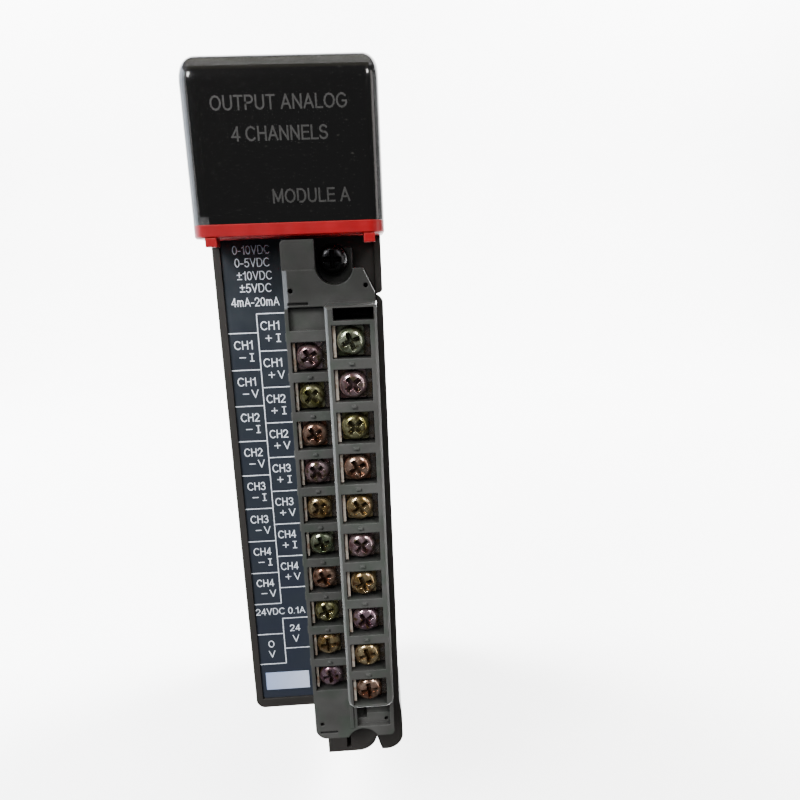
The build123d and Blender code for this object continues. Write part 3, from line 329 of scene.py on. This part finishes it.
FINISHES = {
    "front_bezel": bezel_plastic,
    "indicator_carrier": moulded("carrier_plastic", (0.010, 0.010, 0.011), (0.05, 0.05, 0.05), 0.5),
    "rear_case": moulded("case_plastic", (0.013, 0.013, 0.0135), (0.045, 0.045, 0.046), 0.56, grain=0.4, shine=0.12, mottle=0.06),
    "indicator_lens": smoked_lens(),
    "colour_bar": red_bar(),
    "indicator_card": moulded("card_stock", (0.010, 0.010, 0.011), (0.03, 0.03, 0.03), 0.6, edge_mm=0.05),
    "light_guide": glow_plastic("light_guide_clear", (0.70, 0.74, 0.72), (0.80, 0.84, 0.82), 0.5),
    "status_lamp": glow_plastic("status_lamp_green", (0.06, 0.40, 0.12), (0.10, 0.55, 0.18)),
    "wiring_label": label_film(),
    "write_on_strip": write_on_film(),
    # Painted shade: deep hollows darken over 6 mm, and the top darkens near and above the top screw.
    "terminal_block": moulded("block_plastic", (0.034, 0.034, 0.0325), (0.085, 0.088, 0.086), 0.40,
                              grain_mm=0.35, edge_mm=0.28, recess_mm=6.0, recess_share=0.9, shade=0.65),
    "terminal_contacts": metal("contact_plate", [(0.20, 0.17, 0.15), (0.44, 0.39, 0.36), (0.26, 0.19, 0.12)],
                               0.24, dark=(0.02, 0.015, 0.012), dark_share=0.6, scratch=0.12, metallic=0.85),
    "upper_retaining_screw": metal("black_steel", [(0.012, 0.012, 0.013), (0.03, 0.03, 0.031)], 0.30),
    "mounting_screw": threaded("threaded_steel", NICKEL, (0.0, 0.066), 0.0005, 0.7),
    "mounting_washer": bright_steel,
    "retaining_inserts": metal("turned_brass", [(0.62, 0.44, 0.18), (0.76, 0.58, 0.28)], 0.28),
    "socket_housing": socket_plastic,
    "socket_pins": tinned,
    "terminal_board": board_green,
    "board_screws": bright_steel,
    "main_board": board_green,
    "board_link": socket_plastic,
    "backplane_connector": socket_plastic,
    "backplane_contacts": gold_contact,
    "filter_capacitors": glow_plastic("capacitor_sleeve", (0.020, 0.026, 0.060), (0.030, 0.040, 0.085)),
    "transformer_core": moulded("ferrite", (0.030, 0.030, 0.032), (0.10, 0.10, 0.10), 0.65, grain=0.5),
    "transformer_winding": glow_plastic("winding_tape", (0.60, 0.42, 0.06), (0.72, 0.55, 0.12)),
    "calibration_trimmers": glow_plastic("trimmer_blue", (0.03, 0.12, 0.42), (0.05, 0.18, 0.55)),
}
for name in ("upper_retaining_washer", "lower_retaining_screw", "lower_retaining_washer"):
    FINISHES[name] = FINISHES["upper_retaining_screw"]
for number, tint in enumerate(LOW_TINTS + HIGH_TINTS, start=1):
    FINISHES[f"terminal_screw_{number:02d}"] = screw_finish[tint]
for name in ("optocouplers", "converter_chips", "output_amplifiers", "controller_chip", "voltage_regulator"):
    FINISHES[name] = chip_black

for name, finish in FINISHES.items():
    mesh = nodes[name].data
    mesh.materials.clear()
    mesh.materials.append(finish)


def finish_part(name, finish, belongs):
    """Give the faces whose centres belong, in millimetres, a second finish."""
    mesh = nodes[name].data
    mesh.materials.append(finish)
    for face in mesh.polygons:
        face.material_index = 1 if belongs(Vector(face.center) / MM) else 0


finish_part("optocouplers", tinned, lambda p: abs(p.y + 52.0) > 3.12)
finish_part("converter_chips", tinned, lambda p: abs(p.y + 38.0) > 3.12)
finish_part("output_amplifiers", tinned, lambda p: abs(p.y + 53.0) > 3.12)
finish_part("controller_chip", tinned, lambda p: max(abs(p.y + 21.0), abs(p.z + 56.0)) > 6.02)
finish_part("voltage_regulator", tinned, lambda p: p.x < -7.82 or p.y > -9.48)

# The upturned edge of each clamp plate stands clear of its seat; its faces are painted pale cream, a painted glint
# where it catches the light.
plate_edge_painted_glint = metal("plate_edge_painted_glint", [(0.62, 0.54, 0.46), (0.86, 0.80, 0.70), (0.50, 0.36, 0.26)], 0.36,
                   dark_share=0.3, scratch=0.6, seed=3.0, metallic=0.35)
finish_part("terminal_contacts", plate_edge_painted_glint, lambda p: -98.45 < p.y < -96.71 or p.y < -106.71)


# ---------------------------------------------------------------- printing
def bend(cx, cy, rx, ry, start, end):
    """Points along part of an ellipse, from one angle to another in degrees."""
    steps = 12
    angles = [math.radians(start + (end - start) * step / steps) for step in range(steps + 1)]
    return [(cx + rx * math.cos(a), cy + ry * math.sin(a)) for a in angles]


# Plain upright characters: the width, then the pen lines in a box one unit high.
LETTERS = {
    " ": (0.22, []),
    "-": (0.36, [[(0.04, 0.38), (0.32, 0.38)]]),
    ".": (0.18, [[(0.07, 0.05), (0.10, 0.05)]]),
    "±": (0.62, [[(0.05, 0.60), (0.57, 0.60)], [(0.31, 0.86), (0.31, 0.34)], [(0.05, 0.10), (0.57, 0.10)]]),
    "0": (0.62, [bend(0.31, 0.5, 0.26, 0.46, 0, 360)]),
    "1": (0.42, [[(0.06, 0.74), (0.24, 0.80), (0.32, 0.96), (0.32, 0.04)]]),
    "2": (0.62, [bend(0.31, 0.70, 0.25, 0.26, 170, -30) + [(0.06, 0.04), (0.58, 0.04)]]),
    "3": (0.62, [bend(0.30, 0.73, 0.23, 0.23, 160, -90) + bend(0.30, 0.27, 0.26, 0.23, 80, -160)]),
    "4": (0.64, [[(0.46, 0.04), (0.46, 0.96), (0.04, 0.28), (0.60, 0.28)]]),
    "5": (0.62, [[(0.54, 0.96), (0.16, 0.96), (0.10, 0.52)] + bend(0.30, 0.32, 0.26, 0.28, 130, -155)]),
    "A": (0.74, [[(0.04, 0.04), (0.37, 0.96), (0.70, 0.04)], [(0.15, 0.34), (0.59, 0.34)]]),
    "C": (0.78, [bend(0.42, 0.5, 0.37, 0.46, 45, 315)]),
    "D": (0.74, [[(0.08, 0.04), (0.08, 0.96)] + bend(0.34, 0.5, 0.34, 0.46, 90, -90)
                 + [(0.08, 0.04)]]),
    "E": (0.62, [[(0.58, 0.96), (0.08, 0.96), (0.08, 0.04), (0.60, 0.04)], [(0.08, 0.52), (0.54, 0.52)]]),
    "G": (0.82, [bend(0.42, 0.5, 0.37, 0.46, 45, 340) + [(0.76, 0.46), (0.48, 0.46)]]),
    "H": (0.74, [[(0.08, 0.04), (0.08, 0.96)], [(0.66, 0.04), (0.66, 0.96)], [(0.08, 0.52), (0.66, 0.52)]]),
    "L": (0.56, [[(0.08, 0.96), (0.08, 0.04), (0.54, 0.04)]]),
    "M": (0.86, [[(0.08, 0.04), (0.08, 0.96), (0.43, 0.14), (0.78, 0.96), (0.78, 0.04)]]),
    "N": (0.74, [[(0.08, 0.04), (0.08, 0.96), (0.66, 0.04), (0.66, 0.96)]]),
    "O": (0.82, [bend(0.41, 0.5, 0.36, 0.46, 0, 360)]),
    "P": (0.66, [[(0.08, 0.04), (0.08, 0.96)] + bend(0.36, 0.72, 0.25, 0.24, 90, -90)
                 + [(0.08, 0.48)]]),
    "S": (0.66, [bend(0.33, 0.73, 0.25, 0.23, 25, 265) + bend(0.33, 0.27, 0.27, 0.23, 85, -160)]),
    "T": (0.66, [[(0.04, 0.96), (0.62, 0.96)], [(0.33, 0.96), (0.33, 0.04)]]),
    "U": (0.74, [[(0.08, 0.96)] + bend(0.37, 0.34, 0.29, 0.30, 180, 360) + [(0.66, 0.96)]]),
    "V": (0.70, [[(0.04, 0.96), (0.35, 0.04), (0.66, 0.96)]]),
    "m": (0.86, [[(0.08, 0.04), (0.08, 0.70)], bend(0.25, 0.50, 0.17, 0.20, 180, 0) + [(0.42, 0.04)],
                 bend(0.59, 0.50, 0.17, 0.20, 180, 0) + [(0.76, 0.04)]]),
}
LETTER_GAP = 0.12


class Print:
    """Flat ink on a plane that faces the front."""

    def __init__(self, front_y):
        self.front_y = front_y
        self.mesh = bmesh.new()

    def face(self, corners):
        """One flat patch of ink; patches that cross lie a hair apart in depth."""
        ink_y = self.front_y - 0.02 - 0.003 * (len(self.mesh.faces) % 7)
        self.mesh.faces.new([self.mesh.verts.new(Vector((x, ink_y, z)) * MM) for x, z in corners])

    def bar(self, x0, x1, z0, z1):
        self.face(((x0, z0), (x1, z0), (x1, z1), (x0, z1)))

    def pen(self, points, half):
        """A line of the pen through points in millimetres, half wide to each side."""
        for (ax, az), (bx, bz) in zip(points, points[1:]):
            length = math.hypot(bx - ax, bz - az)
            ux, uz = half * (bx - ax) / length, half * (bz - az) / length
            self.face(((ax - ux + uz, az - uz - ux), (bx + ux + uz, bz + uz - ux),
                       (bx + ux - uz, bz + uz + ux), (ax - ux - uz, az - uz + ux)))

    def words(self, text, x0, x1, centre_z, cap, weight=0.055):
        """Set text between x0 and x1, with capitals cap high, centred on centre_z."""
        total = sum(LETTERS[letter][0] + LETTER_GAP for letter in text) - LETTER_GAP
        across = (x1 - x0) / total
        start = 0.0
        for letter in text:
            width, lines = LETTERS[letter]
            for points in lines:
                placed = [(x0 + (start + px) * across, centre_z + (pz - 0.5) * cap) for px, pz in points]
                self.pen(placed, weight * cap)
            start += width + LETTER_GAP

    def minus(self, x, z):
        self.bar(x - 0.65, x + 0.65, z - 0.09, z + 0.09)

    def plus(self, x, z):
        self.bar(x - 0.65, x + 0.65, z - 0.09, z + 0.09)
        self.bar(x - 0.09, x + 0.09, z - 0.65, z + 0.65)

    def letter_i(self, x, z):
        self.bar(x - 0.11, x + 0.11, z - 0.85, z + 0.85)
        for end in (-0.76, 0.76):
            self.bar(x - 0.45, x + 0.45, z + end - 0.09, z + end + 0.09)

    def letter_v(self, x, z):
        self.words("V", x - 0.7, x + 0.7, z, 1.7)

    def done(self, name, finish, body):
        mesh = bpy.data.meshes.new(name)
        self.mesh.to_mesh(mesh)
        self.mesh.free()
        mesh.materials.append(finish)
        piece = bpy.data.objects.new(name, mesh)
        bpy.context.scene.collection.objects.link(piece)
        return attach(piece, body)


def ink(name, colour_a, colour_b, roughness=0.5):
    finish = Finish(name)
    worn = finish.spread(finish.noise(0.5, 4.0), 0.42, 0.66)
    rough = finish.spread(finish.noise(0.8, 3.0), 0.3, 0.7, roughness - 0.08, roughness + 0.08)
    finish.bump(finish.noise(0.25, 2.0), 0.1, 0.01)
    return finish.set(Base_Color=finish.mix(worn, colour_a, colour_b), Roughness=rough)


PITCH = 7.62
FIRST_CELL = 29.6
LEFT, MIDDLE, RIGHT = -15.05, -9.07, -3.4
LINE = 0.1
label = Print(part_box("wiring_label")[0].y / MM)
for text, x0, x1, z in (
    ("0-10VDC", -12.75, -5.4, 42.2),
    ("0-5VDC", -12.5, -5.6, 39.75),
    ("±10VDC", -12.25, -5.3, 37.2),
    ("±5VDC", -11.9, -5.6, 34.75),
    ("4mA-20mA", -13.85, -4.3, 32.0),
):
    label.words(text, x0, x1, z, 1.7)

last_cell = FIRST_CELL - 8.5 * PITCH
label.bar(MIDDLE - LINE, MIDDLE + LINE, last_cell, FIRST_CELL)
label.bar(MIDDLE - LINE, MIDDLE + LINE, last_cell - 2 * PITCH, last_cell - 0.5 * PITCH)
for row in [*range(9), 9, 10]:
    z = FIRST_CELL - row * PITCH
    label.bar(MIDDLE, RIGHT, z - LINE, z + LINE)
for row in [*range(9), 9, 10]:
    z = FIRST_CELL - (row + 0.5) * PITCH
    label.bar(LEFT, MIDDLE, z - LINE, z + LINE)
for row in range(8):
    channel = f"CH{row // 2 + 1}"
    high = FIRST_CELL - (row + 0.5) * PITCH
    low = high - PITCH / 2
    label.words(channel, -8.45, -4.6, high + 1.36, 1.75)
    label.plus(-7.0, high - 1.2)
    label.words(channel, -14.1, -10.3, low + 1.36, 1.75)
    label.minus(-12.6, low - 1.2)
    draw = label.letter_v if row % 2 else label.letter_i
    draw(-5.0, high - 1.2)
    draw(-10.7, low - 1.2)
label.words("24VDC 0.1A", -14.9, -3.9, -37.1, 1.6)
label.words("24", -7.6, -5.3, -41.5, 1.6)
label.letter_v(-6.4, -44.2)
label.words("0", -12.8, -11.4, -45.3, 1.7)
label.letter_v(-12.1, -47.9)
label_print = label.done("label_print", ink("label_ink", (0.78, 0.82, 0.90), (0.52, 0.56, 0.64)), "module")

lens = Print(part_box("indicator_lens")[0].y / MM)
lens.words("OUTPUT ANALOG", -11.7, 11.6, 66.3, 2.3, 0.07)
lens.words("4 CHANNELS", -8.5, 8.0, 61.3, 2.3, 0.07)
lens.words("MODULE A", -2.3, 11.25, 50.9, 2.3, 0.07)
lens_print = lens.done("lens_print", ink("lens_ink", (0.017, 0.0165, 0.016), (0.010, 0.010, 0.0095)), "module")


# ---------------------------------------------------------------- floor, light and camera
def backdrop():
    """A pale floor that curves up into a wall; returns its object."""
    floor_z = cad_box[0].z - 0.030
    near_y, bend_y, radius, top_z, half = -0.085, 0.55, 0.35, 1.2, 1.6
    profile = [(near_y, floor_z), (bend_y, floor_z)]
    for step in range(1, 17):
        angle = math.pi / 2 * step / 16
        profile.append((bend_y + radius * math.sin(angle), floor_z + radius * (1 - math.cos(angle))))
    profile.append((bend_y + radius, top_z))
    verts = [(side * half, y, z) for y, z in profile for side in (-1, 1)]
    faces = [(2 * i, 2 * i + 1, 2 * i + 3, 2 * i + 2) for i in range(len(profile) - 1)]
    mesh = bpy.data.meshes.new("backdrop")
    mesh.from_pydata(verts, [], faces)
    for face in mesh.polygons:
        face.use_smooth = True
    finish = Finish("backdrop_paper")
    colour = finish.mix(finish.spread(finish.noise(120.0, 3.0), 0.3, 0.7), (0.90, 0.90, 0.90), (0.92, 0.92, 0.92))
    mesh.materials.append(finish.set(Base_Color=colour, Roughness=0.9))
    piece = bpy.data.objects.new("backdrop", mesh)
    bpy.context.scene.collection.objects.link(piece)
    return piece


def lamp(name, place, target, width, height, power, colour, mirrored=True, receivers=None):
    """A soft box. Unless mirrored it shows in no reflection, and receivers are all that it lights."""
    data = bpy.data.lights.new(name, "AREA")
    data.shape = "RECTANGLE"
    data.size, data.size_y = width, height
    data.energy = power
    data.color = colour
    piece = bpy.data.objects.new(name, data)
    piece.location = place
    piece.rotation_euler = (Vector(target) - Vector(place)).to_track_quat("-Z", "Y").to_euler()
    piece.visible_glossy = mirrored
    piece.light_linking.receiver_collection = receivers
    bpy.context.scene.collection.objects.link(piece)


floor_only = bpy.data.collections.new("floor_only")
floor_only.objects.link(backdrop())
lamp("front_soft", (-0.30, -0.62, 0.36), (0.0, -0.09, 0.0), 0.70, 0.50, 10.0, (1.0, 0.985, 0.96), mirrored=False)
lamp("ceiling", (0.0, -0.15, 0.90), (0.0, -0.09, 0.0), 1.20, 0.90, 1.4, (1.0, 0.95, 0.62))
lamp("side_left", (-0.68, -0.06, 0.15), (0.0, -0.09, 0.0), 0.50, 0.80, 7.0, (0.80, 0.89, 1.0))
lamp("window_left", (-0.62, 0.22, 0.15), (0.0, -0.09, 0.0), 0.50, 0.80, 3.5, (0.78, 0.87, 1.0))
lamp("side_right", (0.70, -0.30, 0.10), (0.0, -0.09, 0.0), 0.25, 0.80, 2.6, (1.0, 0.95, 0.92))
lamp("glint_left", (-0.28, -0.42, 0.36), (0.0, -0.09, 0.0), 0.12, 0.12, 3.6, (1.0, 1.0, 1.0))
lamp("glint_right", (0.30, -0.40, 0.34), (0.0, -0.09, 0.0), 0.08, 0.10, 1.8, (1.0, 0.97, 0.95))
for name, side in (("backdrop_left", -1), ("backdrop_right", 1)):
    lamp(name, (0.7 * side, 0.25, 0.9), (0.15 * side, 0.75, 0.05), 0.7, 0.4, 80.0, (1.0, 1.0, 1.0), False, floor_only)

world = bpy.data.worlds.new("room")
world.use_nodes = True
world.node_tree.nodes["Background"].inputs["Color"].default_value = (0.80, 0.85, 0.92, 1.0)
world.node_tree.nodes["Background"].inputs["Strength"].default_value = 0.08
bpy.context.scene.world = world

camera_data = bpy.data.cameras.new("camera")
camera_data.lens = 27.760
camera_data.sensor_width = 36.0
camera_data.clip_start = 0.01
camera = bpy.data.objects.new("camera", camera_data)
camera.location = (0.013767, -0.214938, 0.038830)
camera.rotation_euler = Euler([math.radians(a) for a in (77.37473, 2.05721, -2.98088)])
bpy.context.scene.collection.objects.link(camera)
bpy.context.scene.camera = camera
